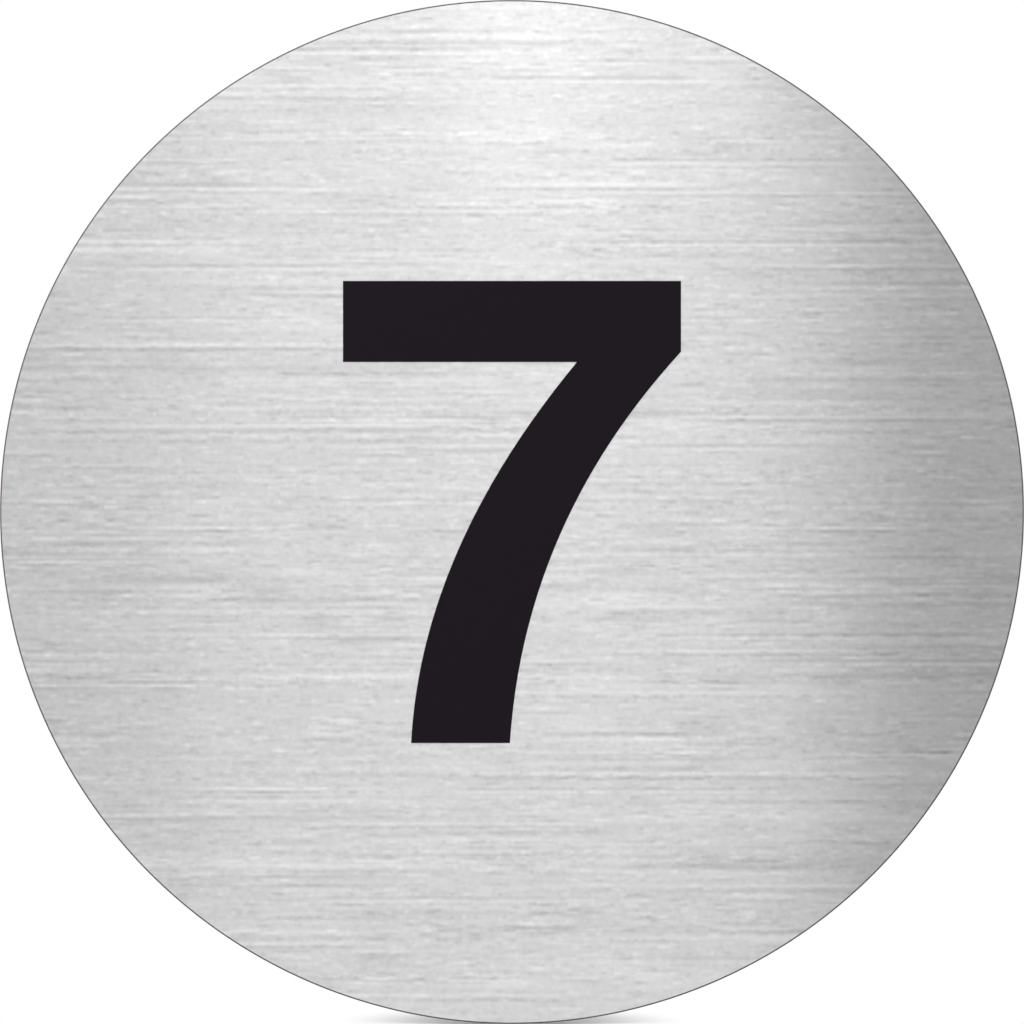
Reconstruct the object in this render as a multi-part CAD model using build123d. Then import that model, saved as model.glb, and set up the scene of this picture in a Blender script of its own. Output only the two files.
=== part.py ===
from build123d import *
import math
import os

# Round house number sign: a brushed stainless steel disc that carries a black seven.
# The disc has no screw holes, so a round of double-sided tape holds it to a wall or a door.
#
# Lengths are in millimetres and angles in degrees. The origin is the centre of the face
# that sticks to the wall. +X is to the reader's right, +Z is up, and the sign faces -Y.

# Plate: cut from stainless sheet, with both edges deburred
plate_diameter = 100.0
plate_thickness = 1.5
plate_edge_radius = 0.15

# Numeral: cut from black film and centred on the plate
numeral_width = 33.0
numeral_height = 45.1
numeral_thickness = 0.1
bar_depth = 7.9  # from the top of the bar to its underside
heel_depth = 6.9  # straight right-hand end of the bar, above the stem's outer curve
shoulder_width = 10.15  # from the corner under the bar to the numeral's right-hand end
foot_inset = 6.65  # from the left-hand end of the bar to the foot
foot_width = 9.65

# Bows of the stem's two sides: the angle between each curve and its chord, at both ends
inner_bow_at_bar = 16.1
inner_bow_at_foot = 20.6
outer_bow_at_bar = 18.9
outer_bow_at_foot = 19.9

# Tape: a round of double-sided mounting tape, set in from the plate's edge all round
tape_thickness = 1.0
tape_margin = 5.0

# Faces across the sign, from the wall outwards
wall_face = Plane.XZ
plate_back = wall_face.offset(tape_thickness)
plate_front = plate_back.offset(plate_thickness)


def make_plate():
    """A flat disc whose front and back edges are broken by the same small radius."""
    disc = extrude(plate_back * Circle(plate_diameter / 2), plate_thickness)
    rim_edges = disc.edges().filter_by(GeomType.CIRCLE)
    return fillet(rim_edges, plate_edge_radius)


def stem_side(bar_end, foot_end, bow_at_bar, bow_at_foot):
    """One side of the stem, bowed to the left of its chord and tangent to both bow angles."""
    chord = foot_end - bar_end
    both_bows = math.radians(bow_at_bar + bow_at_foot)
    reach = chord.length * math.sin(math.radians(bow_at_foot)) / math.sin(both_bows)
    corner = bar_end + chord.normalized().rotate(Axis.Z, -bow_at_bar) * reach
    return Bezier(bar_end, corner, foot_end)


def make_numeral():
    """A seven with a straight bar and a stem that widens from its foot to the bar."""
    left = -numeral_width / 2
    right = left + numeral_width
    top = numeral_height / 2
    bottom = top - numeral_height
    underside = top - bar_depth

    inner_corner = Vector(right - shoulder_width, underside)
    heel = Vector(right, top - heel_depth)
    foot_left = Vector(left + foot_inset, bottom)
    foot_right = foot_left + Vector(foot_width, 0)

    bar = Polyline(inner_corner, (left, underside), (left, top), (right, top), heel)
    outer_side = stem_side(heel, foot_right, outer_bow_at_bar, outer_bow_at_foot)
    foot = Line(foot_right, foot_left)
    inner_side = stem_side(inner_corner, foot_left, inner_bow_at_bar, inner_bow_at_foot)

    outline = make_face(bar.edges() + outer_side.edges() + foot.edges() + inner_side.edges())
    return extrude(plate_front * outline, numeral_thickness)


def make_mounting_tape():
    """A die-cut round that fills the space between the plate's back and the wall."""
    tape_radius = plate_diameter / 2 - tape_margin
    return extrude(wall_face * Circle(tape_radius), tape_thickness)


pieces = {
    "plate": make_plate(),
    "numeral": make_numeral(),
    "mounting_tape": make_mounting_tape(),
}

os.makedirs("parts", exist_ok=True)
for name, solid in pieces.items():
    solid.label = name
    export_step(solid, f"parts/{name}.step")
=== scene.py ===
import math

import bmesh
import bpy
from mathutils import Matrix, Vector


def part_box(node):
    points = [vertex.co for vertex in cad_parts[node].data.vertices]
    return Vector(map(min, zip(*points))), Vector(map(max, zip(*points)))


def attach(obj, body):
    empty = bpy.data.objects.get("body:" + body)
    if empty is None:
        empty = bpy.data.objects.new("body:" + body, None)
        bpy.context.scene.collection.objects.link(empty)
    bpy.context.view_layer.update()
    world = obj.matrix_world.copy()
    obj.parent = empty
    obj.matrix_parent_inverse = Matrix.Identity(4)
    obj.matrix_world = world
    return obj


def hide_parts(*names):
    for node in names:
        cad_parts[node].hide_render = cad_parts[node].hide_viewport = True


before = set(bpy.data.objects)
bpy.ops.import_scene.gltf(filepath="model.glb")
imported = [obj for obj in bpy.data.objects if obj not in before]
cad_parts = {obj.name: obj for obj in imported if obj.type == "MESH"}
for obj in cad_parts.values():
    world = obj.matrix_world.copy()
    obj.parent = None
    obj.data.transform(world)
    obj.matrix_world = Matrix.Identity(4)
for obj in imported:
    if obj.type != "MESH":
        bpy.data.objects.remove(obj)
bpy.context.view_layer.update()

# Plate
# A disc that a laser cut from stainless steel sheet, with both edges deburred. Its show face was
# ground on a belt from left to right, and its back keeps the finish of the rolling mill.
millimetre = 0.001
quarter_turn = math.radians(90)
plate_low, plate_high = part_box("plate")
plate_radius = plate_high.z
plate_front = plate_low.y
plate_back = plate_high.y
plate_middle = (plate_front + plate_back) / 2
plate_edge_break = 0.15 * millimetre
plate_edge_steps = 5
rim_segments = 360
smooth_angle = math.radians(40)
flat_enough = 0.99  # how far along Y a normal points on one of a disc's two flat faces

brushed_colour = "#D2D2D2"
cut_colour = "#A6A4A1"
mill_colour = "#B4B4B2"


def linear(hex_colour):
    """An sRGB hex colour as the linear colour that a shader socket takes, by the standard's own curve."""
    colour = []
    for place in (1, 3, 5):
        channel = int(hex_colour[place : place + 2], 16) / 255
        if channel <= 0.04045:
            colour.append(channel / 12.92)
        else:
            colour.append(((channel + 0.055) / 1.055) ** 2.4)
    return colour + [1.0]


def add_node(owner, kind, inputs=None, **settings):
    """A node with its settings. An input is a value, a socket, or a node that gives its first output."""
    tree = owner.node_tree
    node = tree.nodes.new("ShaderNode" + kind)
    for name, value in settings.items():
        setattr(node, name, value)
    for name, value in (inputs or {}).items():
        if isinstance(value, bpy.types.Node):
            value = value.outputs[0]
        if isinstance(value, bpy.types.NodeSocket):
            tree.links.new(value, node.inputs[name])
        else:
            node.inputs[name].default_value = value
    return node


def new_material(name):
    """A material with no nodes yet."""
    material = bpy.data.materials.new(name)
    material.use_nodes = True
    material.node_tree.nodes.clear()
    return material


def standing_disc(name, radius, front, back):
    """A disc that stands upright and faces -Y, with its place in its mesh."""
    bpy.ops.object.select_all(action="DESELECT")
    bpy.ops.mesh.primitive_cylinder_add(
        vertices=rim_segments,
        radius=radius,
        depth=back - front,
        location=(0, (front + back) / 2, 0),
        rotation=(quarter_turn, 0, 0),
    )
    disc = bpy.context.object
    disc.name = name
    disc.data.name = name
    bpy.ops.object.transform_apply(location=True, rotation=True, scale=True)
    return disc


def round_rim_edges(disc, radius, steps):
    """Bevels the two circles where the disc's faces meet its rim."""
    bpy.ops.object.mode_set(mode="EDIT")
    bpy.ops.mesh.select_mode(type="EDGE")
    bpy.ops.mesh.select_all(action="DESELECT")
    mesh = bmesh.from_edit_mesh(disc.data)
    for edge in mesh.edges:
        first, second = edge.verts
        edge.select = abs(first.co.y - second.co.y) < radius / 2
    bmesh.update_edit_mesh(disc.data)
    bpy.ops.mesh.bevel(offset=radius, segments=steps, affect="EDGES")
    bpy.ops.object.mode_set(mode="OBJECT")


def shade_flat_faces_true(disc):
    """Smooth shading in which the two large faces keep their own normals."""
    bpy.ops.object.shade_smooth_by_angle(angle=smooth_angle)
    bpy.ops.object.modifier_add(type="WEIGHTED_NORMAL")
    disc.modifiers[0].keep_sharp = True
    bpy.ops.object.modifier_apply(modifier=disc.modifiers[0].name)


plate = standing_disc("brushed_plate", plate_radius, plate_front, plate_back)
round_rim_edges(plate, plate_edge_break, plate_edge_steps)
shade_flat_faces_true(plate)

# How unevenly the rows of scratches lie, how much their strengths differ and how far their starts
# are spread, with the value that a noise swings about
row_drift = 0.7
row_drift_scale = 0.45
weakest_row = 0.3
strongest_row = 1.7
row_start_spread = 900.0
noise_middle = 0.5


def belt_scratches(steel, shade, layers, ends, walls):
    """Adds layers of scratches to a shade. Each row of a layer has a start and a strength of its own.

    A layer gives the width of its rows and the length of its scratches, both in millimetres, then
    its strength and its seed. Along a row, a noise turns it lighter and darker. A scratch starts
    where the noise is farther from its middle than the first of the ends, and is whole where it is
    farther than the second. Across a row, one wall shows as a single line, and two walls as a light
    line beside a dark one.
    """
    bare, whole = ends
    place = add_node(steel, "TexCoord").outputs["Object"]
    axes = add_node(steel, "SeparateXYZ", {"Vector": place}).outputs
    for row_width, scratch_length, strength, seed in layers:
        rows_per_metre = 1 / (row_width * millimetre)
        lengths_per_metre = 1 / (scratch_length * millimetre)

        even_rows = {0: axes["Z"], 1: rows_per_metre, 2: seed}
        even_row = add_node(steel, "Math", even_rows, operation="MULTIPLY_ADD")
        slow_noise = {"W": even_row, "Scale": row_drift_scale, "Detail": 0.0}
        drift = add_node(steel, "TexNoise", slow_noise, noise_dimensions="1D")
        row = add_node(steel, "Math", {0: drift, 1: row_drift, 2: even_row}, operation="MULTIPLY_ADD")
        number = add_node(steel, "Math", {0: row}, operation="FLOOR")
        chance = add_node(steel, "TexWhiteNoise", {"W": number}, noise_dimensions="1D")
        limits = {"To Min": weakest_row * strength, "To Max": strongest_row * strength}
        row_strength = add_node(steel, "MapRange", {"Value": chance, **limits})

        start = add_node(steel, "Math", {0: chance, 1: row_start_spread}, operation="MULTIPLY")
        lengths = {0: axes["X"], 1: lengths_per_metre, 2: start}
        along = add_node(steel, "Math", lengths, operation="MULTIPLY_ADD")
        row_noise = {"W": along, "Scale": 1.0, "Detail": 1.0}
        noise = add_node(steel, "TexNoise", row_noise, noise_dimensions="1D")
        swing = add_node(steel, "Math", {0: noise, 1: noise_middle}, operation="SUBTRACT")
        side = add_node(steel, "Math", {0: swing}, operation="SIGN")
        reach = add_node(steel, "Math", {0: swing}, operation="ABSOLUTE")
        limits = {"From Min": bare, "From Max": whole, "To Min": 0.0, "To Max": row_strength}
        depth = add_node(steel, "MapRange", {"Value": reach, **limits}, interpolation_type="SMOOTHSTEP")
        scratch = add_node(steel, "Math", {0: side, 1: depth}, operation="MULTIPLY")

        across = add_node(steel, "Math", {0: row}, operation="FRACT")
        angle = add_node(steel, "Math", {0: across, 1: walls * math.pi}, operation="MULTIPLY")
        profile = add_node(steel, "Math", {0: angle}, operation="SINE")
        shade = add_node(steel, "Math", {0: scratch, 1: profile, 2: shade}, operation="MULTIPLY_ADD")
    return shade


# Stainless steel, belt ground: straight scratches that all run one way. They show as light and
# dark dashes, and they spread each reflection up and down but hardly sideways. Real ones are a
# few hundredths of a millimetre wide. These are drawn ten times as coarse or more, as the eye
# gathers them in bundles.
def brushed_stainless():
    grain_length = 0.7 * millimetre
    grain_width = 0.55 * millimetre
    darkest_grain = 0.89
    grain_contrast = 0.22
    relief_depth = 0.02 * millimetre

    # Each layer is a row width and a scratch length in millimetres, a strength and a seed
    broad_lines = ((2.1, 10, 0.057, 5011), (2.3, 55, 0.067, 8011))
    long_lines = ((1.0, 60, 0.088, 300), (0.88, 50, 0.085, 400))
    short_scratches = ((0.92, 11, 0.056, 600), (0.9, 2.8, 0.053, 800))
    thin_scratches = ((0.48, 5.0, 0.052, 1000), (0.45, 2.2, 0.062, 2000), (0.43, 1.2, 0.052, 3000))
    soft_ends = (0.0, 0.3)
    crisp_ends = (0.09, 0.2)

    steel = new_material("belt_ground_stainless_steel")
    place = add_node(steel, "TexCoord").outputs["Object"]
    grain_scale = (1 / grain_length, 1, 1 / grain_width)
    cells = add_node(steel, "Mapping", {"Vector": place, "Scale": grain_scale})
    grain = add_node(steel, "TexNoise", {"Vector": cells, "Scale": 1.0, "Detail": 2.0})
    grain_shade = {0: grain, 1: grain_contrast, 2: darkest_grain}
    shade = add_node(steel, "Math", grain_shade, operation="MULTIPLY_ADD")

    # The grain and the broad lines also give the face its relief
    shade = belt_scratches(steel, shade, broad_lines, soft_ends, walls=1)
    relief = add_node(steel, "Bump", {"Strength": 0.3, "Distance": relief_depth, "Height": shade})
    shade = belt_scratches(steel, shade, long_lines, soft_ends, walls=2)
    shade = belt_scratches(steel, shade, short_scratches, crisp_ends, walls=2)
    shade = belt_scratches(steel, shade, thin_scratches, crisp_ends, walls=1)

    steel_grey = linear(brushed_colour)[:3]
    colour = add_node(steel, "VectorMath", {0: steel_grey, "Scale": shade}, operation="SCALE")
    roughness = add_node(steel, "MapRange", {"Value": grain, "To Min": 0.276, "To Max": 0.294})
    brush_direction = add_node(steel, "Tangent", direction_type="UV_MAP", uv_map="brush_lines")
    surface = add_node(
        steel,
        "BsdfPrincipled",
        {
            "Base Color": colour,
            "Metallic": 1.0,
            "Roughness": roughness,
            "Anisotropic": 1.0,
            "Anisotropic Rotation": 0.25,
            "Tangent": brush_direction,
            "Normal": relief,
        },
    )
    add_node(steel, "OutputMaterial", {"Surface": surface})
    return steel


# Stainless steel, laser cut: the beam leaves fine ribs across the sheet's thickness and a thin
# grey oxide. The two deburred edges are painted darker still, as painted shade. The ribs are
# drawn twice as coarse as real ones.
def cut_stainless():
    rib_width = 0.35 * millimetre
    rib_length = 6 * millimetre
    rib_depth = 0.06 * millimetre
    rim_shade_fade = 0.1 * millimetre
    darkest_rim_shade = 0.36

    steel = new_material("laser_cut_stainless_steel")
    place = add_node(steel, "TexCoord").outputs["Object"]
    rib_scale = (1 / rib_width, 1 / rib_length, 1 / rib_width)
    cells = add_node(steel, "Mapping", {"Vector": place, "Scale": rib_scale})
    ribs = add_node(steel, "TexNoise", {"Vector": cells, "Scale": 1.0, "Detail": 2.0})

    depth = add_node(steel, "SeparateXYZ", {"Vector": place}).outputs["Y"]
    from_middle = add_node(steel, "Math", {0: depth, 1: plate_middle}, operation="SUBTRACT")
    from_middle = add_node(steel, "Math", {0: from_middle}, operation="ABSOLUTE")
    # Painted shade: the rim turns darker where its deburred edges begin, over a tenth of a millimetre
    edge_start = plate_back - plate_edge_break - plate_middle
    edge_end = edge_start + rim_shade_fade
    limits = {"From Min": edge_start, "From Max": edge_end, "To Min": 1.0, "To Max": darkest_rim_shade}
    painted_rim_shade = add_node(steel, "MapRange", {"Value": from_middle, **limits})

    shade = add_node(steel, "MapRange", {"Value": ribs, "To Min": 0.7, "To Max": 1.3})
    shade = add_node(steel, "Math", {0: shade, 1: painted_rim_shade}, operation="MULTIPLY")
    steel_grey = linear(cut_colour)[:3]
    colour = add_node(steel, "VectorMath", {0: steel_grey, "Scale": shade}, operation="SCALE")
    relief = add_node(steel, "Bump", {"Strength": 0.6, "Distance": rib_depth, "Height": ribs})
    roughness = add_node(steel, "MapRange", {"Value": ribs, "To Min": 0.55, "To Max": 0.75})
    surface = add_node(
        steel,
        "BsdfPrincipled",
        {"Base Color": colour, "Metallic": 1.0, "Roughness": roughness, "Normal": relief},
    )
    add_node(steel, "OutputMaterial", {"Surface": surface})
    return steel


# Stainless steel, cold rolled: an even, dull silver grey with a soft cloudiness and faint lines
# along the way that the sheet was rolled.
def mill_stainless():
    line_length = 25 * millimetre
    line_width = 0.4 * millimetre
    line_depth = 0.02 * millimetre
    cloud_size = 9 * millimetre
    darkest_line = 0.8
    line_contrast = 0.25
    cloud_contrast = 0.15

    steel = new_material("cold_rolled_stainless_steel")
    place = add_node(steel, "TexCoord").outputs["Object"]
    line_scale = (1 / line_length, 1, 1 / line_width)
    cells = add_node(steel, "Mapping", {"Vector": place, "Scale": line_scale})
    lines = add_node(steel, "TexNoise", {"Vector": cells, "Scale": 1.0, "Detail": 2.0})
    clouds = add_node(steel, "TexNoise", {"Vector": place, "Scale": 1 / cloud_size, "Detail": 3.0})

    shade = add_node(steel, "Math", {0: lines, 1: line_contrast, 2: darkest_line}, operation="MULTIPLY_ADD")
    shade = add_node(steel, "Math", {0: clouds, 1: cloud_contrast, 2: shade}, operation="MULTIPLY_ADD")
    steel_grey = linear(mill_colour)[:3]
    colour = add_node(steel, "VectorMath", {0: steel_grey, "Scale": shade}, operation="SCALE")
    relief = add_node(steel, "Bump", {"Strength": 0.3, "Distance": line_depth, "Height": lines})
    roughness = add_node(steel, "MapRange", {"Value": clouds, "To Min": 0.3, "To Max": 0.45})
    surface = add_node(
        steel,
        "BsdfPrincipled",
        {"Base Color": colour, "Metallic": 1.0, "Roughness": roughness, "Normal": relief},
    )
    add_node(steel, "OutputMaterial", {"Surface": surface})
    return steel


plate_finishes = {"show_face": 0, "rim": 1, "back": 2}
for finish in (brushed_stainless(), cut_stainless(), mill_stainless()):
    plate.data.materials.append(finish)
brush_lines = plate.data.uv_layers.new(name="brush_lines")
for face in plate.data.polygons:
    if face.normal.y < -flat_enough:
        face.material_index = plate_finishes["show_face"]
    elif face.normal.y > flat_enough:
        face.material_index = plate_finishes["back"]
    else:
        face.material_index = plate_finishes["rim"]
    for corner in face.loop_indices:
        point = plate.data.vertices[plate.data.loops[corner].vertex_index].co
        across = 0.5 + point.x / (2 * plate_radius)
        up = 0.5 + point.z / (2 * plate_radius)
        brush_lines.data[corner].uv = (across, up)

# This map lays the plate's faces out on one image and says where each face lies on it.
# The show face stands upright there, so that its brush lines keep their direction, with the rim
# opened out as a ring round it. The back is a smaller disc in the far corner.
image_margin = 0.004
show_face_span = 0.88
back_span = 0.27
opened_radius = plate_radius + plate_edge_break + plate_back - plate_front
show_face_centre = image_margin + show_face_span / 2
show_face_scale = show_face_span / (2 * opened_radius)
back_centre = 1 - image_margin - back_span / 2
back_scale = back_span / (2 * plate_radius)
finish_map = plate.data.uv_layers.new(name="OFBake")
for face in plate.data.polygons:
    on_back = face.material_index == plate_finishes["back"]
    for corner in face.loop_indices:
        point = plate.data.vertices[plate.data.loops[corner].vertex_index].co
        if on_back:
            across = back_centre - point.x * back_scale
            up = back_centre + point.z * back_scale
        else:
            radius = math.hypot(point.x, point.z)
            before_rim = radius if point.y < plate_middle else 2 * plate_radius - radius
            spread = show_face_scale * (before_rim + point.y - plate_front) / radius
            across = show_face_centre + point.x * spread
            up = show_face_centre + point.z * spread
        finish_map.data[corner].uv = (across, up)

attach(plate, "root")
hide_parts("plate")

# Numeral
# A seven that a plotter cut from matt black film, pressed on to the steel by its own adhesive.
# The shape is the cut film itself, so only its finish is made here.
film_colour = "#181219"


# Vinyl film, calendered matt: an even near-black with hardly any gloss and a very fine, soft
# unevenness like orange peel, drawn a little coarser than the real one.
def black_film():
    peel_size = 0.5 * millimetre
    peel_depth = 0.02 * millimetre

    film = new_material("matt_black_vinyl_film")
    place = add_node(film, "TexCoord").outputs["Object"]
    peel = add_node(film, "TexNoise", {"Vector": place, "Scale": 1 / peel_size, "Detail": 2.0})
    shade = add_node(film, "MapRange", {"Value": peel, "To Min": 0.9, "To Max": 1.1})
    film_black = linear(film_colour)[:3]
    colour = add_node(film, "VectorMath", {0: film_black, "Scale": shade}, operation="SCALE")
    relief = add_node(film, "Bump", {"Strength": 0.2, "Distance": peel_depth, "Height": peel})
    roughness = add_node(film, "MapRange", {"Value": peel, "To Min": 0.55, "To Max": 0.7})
    surface = add_node(
        film,
        "BsdfPrincipled",
        {"Base Color": colour, "Roughness": roughness, "Specular IOR Level": 0.06, "Normal": relief},
    )
    add_node(film, "OutputMaterial", {"Surface": surface})
    return film


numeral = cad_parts["numeral"]
numeral.data.materials.clear()
numeral.data.materials.append(black_film())

# Mounting tape
# A round die-cut from double-sided tape of grey closed-cell acrylic foam. Its two tacky faces
# hold the plate and the wall, and the cut shows the foam's cells round its edge.
tape_low, tape_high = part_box("mounting_tape")
tape_edge_round = 0.12 * millimetre
tape_edge_steps = 4
tape_skin_colour = "#77787B"
tape_cut_colour = "#6B6C6F"
acrylic_ior = 1.47

tape = standing_disc("foam_tape_round", tape_high.z, tape_low.y, tape_high.y)
round_rim_edges(tape, tape_edge_round, tape_edge_steps)
shade_flat_faces_true(tape)


# Acrylic foam, cast between two liners: a smooth, tacky skin with a low gloss, faint lines along
# the way that it was coated, and shallow pits where cells lie just under it.
def foam_skin():
    line_width = 1.2 * millimetre
    line_length = 60 * millimetre
    line_height = 0.5  # as a share of a pit's depth
    pit_spacing = 1.1 * millimetre
    pit_radius = 0.25  # as a share of the spacing
    pit_depth = 0.04 * millimetre
    darkest_line = 0.75
    line_contrast = 0.3
    pit_contrast = 0.1

    foam = new_material("cast_acrylic_foam_skin")
    place = add_node(foam, "TexCoord").outputs["Object"]
    line_scale = (1 / line_width, 1, 1 / line_length)
    cells = add_node(foam, "Mapping", {"Vector": place, "Scale": line_scale})
    lines = add_node(foam, "TexNoise", {"Vector": cells, "Scale": 1.0, "Detail": 3.0})
    from_pit = add_node(foam, "TexVoronoi", {"Vector": place, "Scale": 1 / pit_spacing})
    limits = {"From Max": pit_radius, "To Min": 0.0, "To Max": 1.0}
    pits = add_node(foam, "MapRange", {"Value": from_pit, **limits})

    shade = add_node(foam, "Math", {0: lines, 1: line_contrast, 2: darkest_line}, operation="MULTIPLY_ADD")
    shade = add_node(foam, "Math", {0: pits, 1: pit_contrast, 2: shade}, operation="MULTIPLY_ADD")
    foam_grey = linear(tape_skin_colour)[:3]
    colour = add_node(foam, "VectorMath", {0: foam_grey, "Scale": shade}, operation="SCALE")
    height = add_node(foam, "Math", {0: lines, 1: line_height, 2: pits}, operation="MULTIPLY_ADD")
    relief = add_node(foam, "Bump", {"Strength": 0.4, "Distance": pit_depth, "Height": height})
    roughness = add_node(foam, "MapRange", {"Value": lines, "To Min": 0.42, "To Max": 0.58})
    surface = add_node(
        foam,
        "BsdfPrincipled",
        {"Base Color": colour, "Roughness": roughness, "IOR": acrylic_ior, "Normal": relief},
    )
    add_node(foam, "OutputMaterial", {"Surface": surface})
    return foam


# Acrylic foam, die cut: the knife opens the cells, so the edge is matt and finely pitted. Real
# cells are near a tenth of a millimetre across, and these are drawn twice as coarse.
def foam_cut():
    cell_size = 0.22 * millimetre
    cell_depth = 0.06 * millimetre

    foam = new_material("die_cut_acrylic_foam")
    place = add_node(foam, "TexCoord").outputs["Object"]
    cells = add_node(foam, "TexVoronoi", {"Vector": place, "Scale": 1 / cell_size})
    # The opened cells are painted darker towards their middles, as painted shade in their hollows
    shade = add_node(foam, "MapRange", {"Value": cells, "To Min": 0.6, "To Max": 1.25})
    foam_grey = linear(tape_cut_colour)[:3]
    colour = add_node(foam, "VectorMath", {0: foam_grey, "Scale": shade}, operation="SCALE")
    relief = add_node(foam, "Bump", {"Strength": 0.8, "Distance": cell_depth, "Height": cells})
    roughness = add_node(foam, "MapRange", {"Value": cells, "To Min": 0.95, "To Max": 0.75})
    surface = add_node(
        foam,
        "BsdfPrincipled",
        {"Base Color": colour, "Roughness": roughness, "IOR": acrylic_ior, "Normal": relief},
    )
    add_node(foam, "OutputMaterial", {"Surface": surface})
    return foam


tape_finishes = {"skin": 0, "cut": 1}
for finish in (foam_skin(), foam_cut()):
    tape.data.materials.append(finish)
for face in tape.data.polygons:
    flat = abs(face.normal.y) > flat_enough
    face.material_index = tape_finishes["skin" if flat else "cut"]

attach(tape, "root")
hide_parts("mounting_tape")

# Studio
# A white room with soft lamps and a pale floor that the sign stands on. A tall card stands in
# front of the sign on each side. The brushed steel shows the two as its darker right side and its
# slightly darker left side.
scene = bpy.context.scene
scene.view_settings.view_transform = "Standard"

# The lens and the sensor are in millimetres, and the plate just fills the picture
lens = 200.0
sensor = 36.0
camera_distance = plate_radius * 2 * lens / sensor
camera_data = bpy.data.cameras.new("camera")
camera_data.lens = lens
camera_data.sensor_width = sensor
camera = bpy.data.objects.new("camera", camera_data)
camera.location = (0, plate_front + plate_edge_break - camera_distance, 0)
camera.rotation_euler = (quarter_turn, 0, 0)
scene.collection.objects.link(camera)
scene.camera = camera

# The room is white where it is seen or mirrored, and lights the sign less than that
room_white = linear("#FFFFFF")
room_light = 0.55
room = bpy.data.worlds.new("white_room")
room.use_nodes = True
room.node_tree.nodes.clear()
ray = add_node(room, "LightPath").outputs
seen = add_node(room, "Math", {0: ray["Is Camera Ray"], 1: ray["Is Glossy Ray"]})
seen = add_node(room, "Math", {0: seen, 1: ray["Is Transmission Ray"]})
strength = add_node(room, "MapRange", {"Value": seen, "To Min": room_light, "To Max": 1.0})
backdrop = add_node(room, "Background", {"Color": room_white, "Strength": strength})
add_node(room, "OutputWorld", {"Surface": backdrop})
scene.world = room


def softbox(name, place, aim, width, height, power):
    """A soft rectangular lamp that the camera doesn't see."""
    data = bpy.data.lights.new(name, "AREA")
    data.shape = "RECTANGLE"
    data.size = width
    data.size_y = height
    data.energy = power
    lamp = bpy.data.objects.new(name, data)
    lamp.location = place
    lamp.rotation_euler = (Vector(aim) - Vector(place)).to_track_quat("-Z", "Y").to_euler()
    lamp.visible_camera = False
    scene.collection.objects.link(lamp)


softbox("main_softbox", place=(-0.35, -0.45, 0.45), aim=(0, 0, 0), width=0.4, height=0.4, power=3.0)
softbox(
    "overhead_strip",
    place=(-0.0135, -0.13, 0.11),
    aim=(-0.0135, 0, 0.03),
    width=0.091,
    height=0.04,
    power=0.0235,
)
softbox(
    "overhead_spot",
    place=(0.002, -0.14, 0.12),
    aim=(0.002, 0, 0.04),
    width=0.020,
    height=0.04,
    power=0.0042,
)

card_distance = 0.15
card_height = 0.8


def grey_card(name, edge, fade, far_end, lean, colour):
    """A tall card that only reflections see. It fades from white at its inner edge to its grey."""
    width = far_end - edge  # below zero on the left, which mirrors the card
    inner_edge = -0.5  # in the card's own units, in which it is 1 wide
    bpy.ops.object.select_all(action="DESELECT")
    bpy.ops.mesh.primitive_plane_add(
        size=1,
        location=((edge + far_end) / 2, -card_distance, 0),
        rotation=(-quarter_turn, math.radians(lean), 0),
    )
    card = bpy.context.object
    card.name = name
    card.scale = (width, card_height, 1)
    paint = new_material(name)
    place = add_node(paint, "TexCoord").outputs["Object"]
    across = add_node(paint, "SeparateXYZ", {"Vector": place}).outputs["X"]
    fade_end = inner_edge + fade / abs(width)
    limits = {"From Min": inner_edge, "From Max": fade_end, "To Min": 1.0, "To Max": linear(colour)[0]}
    grade = add_node(paint, "MapRange", {"Value": across, **limits})
    glow = add_node(paint, "Emission", {"Color": room_white, "Strength": grade})
    add_node(paint, "OutputMaterial", {"Surface": glow})
    card.data.materials.append(paint)
    card.visible_camera = False
    card.visible_diffuse = False
    card.visible_shadow = False


grey_card("right_card", edge=0.0360, fade=0.0150, far_end=0.30, lean=3.2, colour="#C5C5C5")
grey_card("left_card", edge=-0.0352, fade=0.0097, far_end=-0.30, lean=0.0, colour="#E9E9E9")

# The floor is white to the camera, and keeps the sign's shadow where the sign stands
floor_size = 4.0
floor_colour = "#F8F8F8"
shadow_full = 4 * millimetre
shadow_gone = 18 * millimetre
bpy.ops.object.select_all(action="DESELECT")
bpy.ops.mesh.primitive_plane_add(size=floor_size, location=(0, 0, -plate_radius))
floor = bpy.context.object
floor.name = "floor"
floor.visible_glossy = False
floor_paint = new_material("white_floor")
place = add_node(floor_paint, "TexCoord").outputs["Object"]
from_foot = add_node(floor_paint, "VectorMath", {0: place}, operation="LENGTH").outputs["Value"]
limits = {"From Min": shadow_full, "From Max": shadow_gone}
fade = add_node(floor_paint, "MapRange", {"Value": from_foot, **limits}, interpolation_type="SMOOTHSTEP")
camera_ray = add_node(floor_paint, "LightPath").outputs["Is Camera Ray"]
fade = add_node(floor_paint, "Math", {0: fade, 1: camera_ray}, operation="MULTIPLY")
paint = add_node(floor_paint, "BsdfDiffuse", {"Color": linear(floor_colour)})
white = add_node(floor_paint, "Emission", {"Color": room_white, "Strength": 1.0})
mixed = add_node(floor_paint, "MixShader", {0: fade, 1: paint, 2: white})
add_node(floor_paint, "OutputMaterial", {"Surface": mixed})
floor.data.materials.append(floor_paint)
